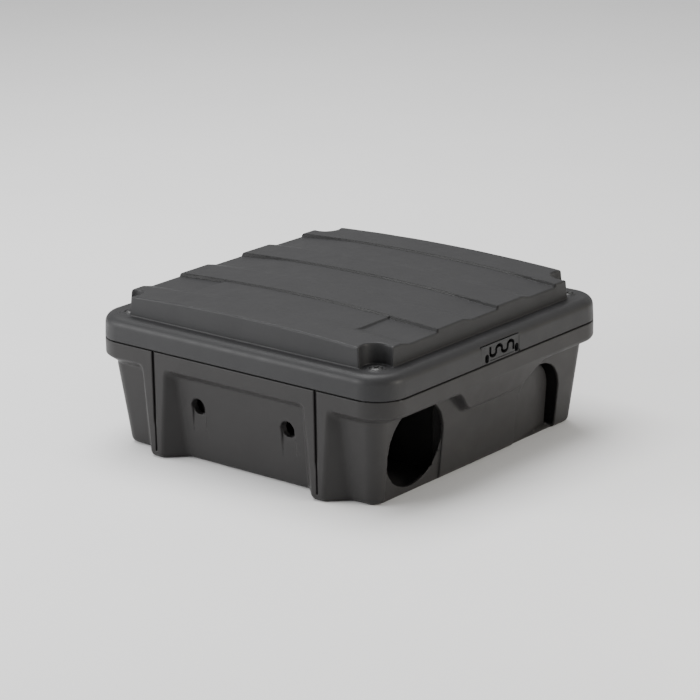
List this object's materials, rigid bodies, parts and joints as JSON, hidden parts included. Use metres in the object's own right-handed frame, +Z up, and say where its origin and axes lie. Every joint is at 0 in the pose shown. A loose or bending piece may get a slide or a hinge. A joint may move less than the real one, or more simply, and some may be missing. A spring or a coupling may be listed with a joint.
{
  "type": "rodent bait station",
  "caption": "Lockable low box with a hinged plank-ribbed lid, wall-side entrance holes on a runway, and a lift-out bait tray with rods.",
  "frame": {"origin": "on the floor, under the middle of the rim, at the centre of the flat underside", "axes": "+Z up; -Y the front with the keyway; +Y the back with the hinge; -X the side that goes against a wall, with the two fixing holes"},
  "size_m": [0.25, 0.2629, 0.111],
  "materials": {
    "base_plastic": "moulded, fine grain",
    "lid_plastic": "moulded, fine grain",
    "inner_plastic": "moulded, smooth",
    "tray_plastic": "moulded, smooth",
    "latch_plastic": "moulded acetal",
    "rod_steel": "drawn wire",
    "screw_steel": "zinc-nickel plated, dark",
    "spring_steel": "bright spring wire",
    "bait_wax": "waxy, grainy"
  },
  "bodies": {
    "base": {"base_shell": "base_plastic", "runway_baffle": "inner_plastic", "hinge_pin_left": "rod_steel", "hinge_pin_right": "rod_steel"},
    "tray": {"bait_tray": "tray_plastic", "bait_rod_left": "rod_steel", "bait_rod_right": "rod_steel", "bait_blocks_left": "bait_wax", "bait_blocks_right": "bait_wax"},
    "lid": {"lid_shell": "lid_plastic", "lid_frame": "inner_plastic", "lid_corner_screws": "screw_steel", "keyway_plate": "lid_plastic", "latch_housing": "latch_plastic", "latch_housing_screws": "screw_steel", "latch_pivot_pin": "rod_steel", "latch_spring_left": "spring_steel", "latch_spring_right": "spring_steel"},
    "latch_lever_left": {"latch_left": "latch_plastic"},
    "latch_lever_right": {"latch_right": "latch_plastic"}
  },
  "joints": [
    {"name": "lid_hinge", "type": "hinge", "parent": "base", "child": "lid", "pos_m": [0, 0.1294, 0.0767], "axis": [-1, 0, 0], "range_deg": [0, 105]},
    {"name": "tray_lift", "type": "slide", "parent": "base", "child": "tray", "axis": [0, 0, 1], "range_m": [0, 0.036]},
    {"name": "latch_left_pivot", "type": "hinge", "parent": "lid", "child": "latch_lever_left", "pos_m": [-0.0166, -0.1174, 0.0862], "axis": [1, 0, 0], "range_deg": [0, 10], "stiffness_Nm_per_rad": 0.05, "springref_deg": -11.46, "deforming": ["latch_spring_left"]},
    {"name": "latch_right_pivot", "type": "hinge", "parent": "lid", "child": "latch_lever_right", "pos_m": [0.0166, -0.1174, 0.0862], "axis": [1, 0, 0], "range_deg": [0, 10], "stiffness_Nm_per_rad": 0.05, "springref_deg": -11.46, "deforming": ["latch_spring_right"]}
  ]
}
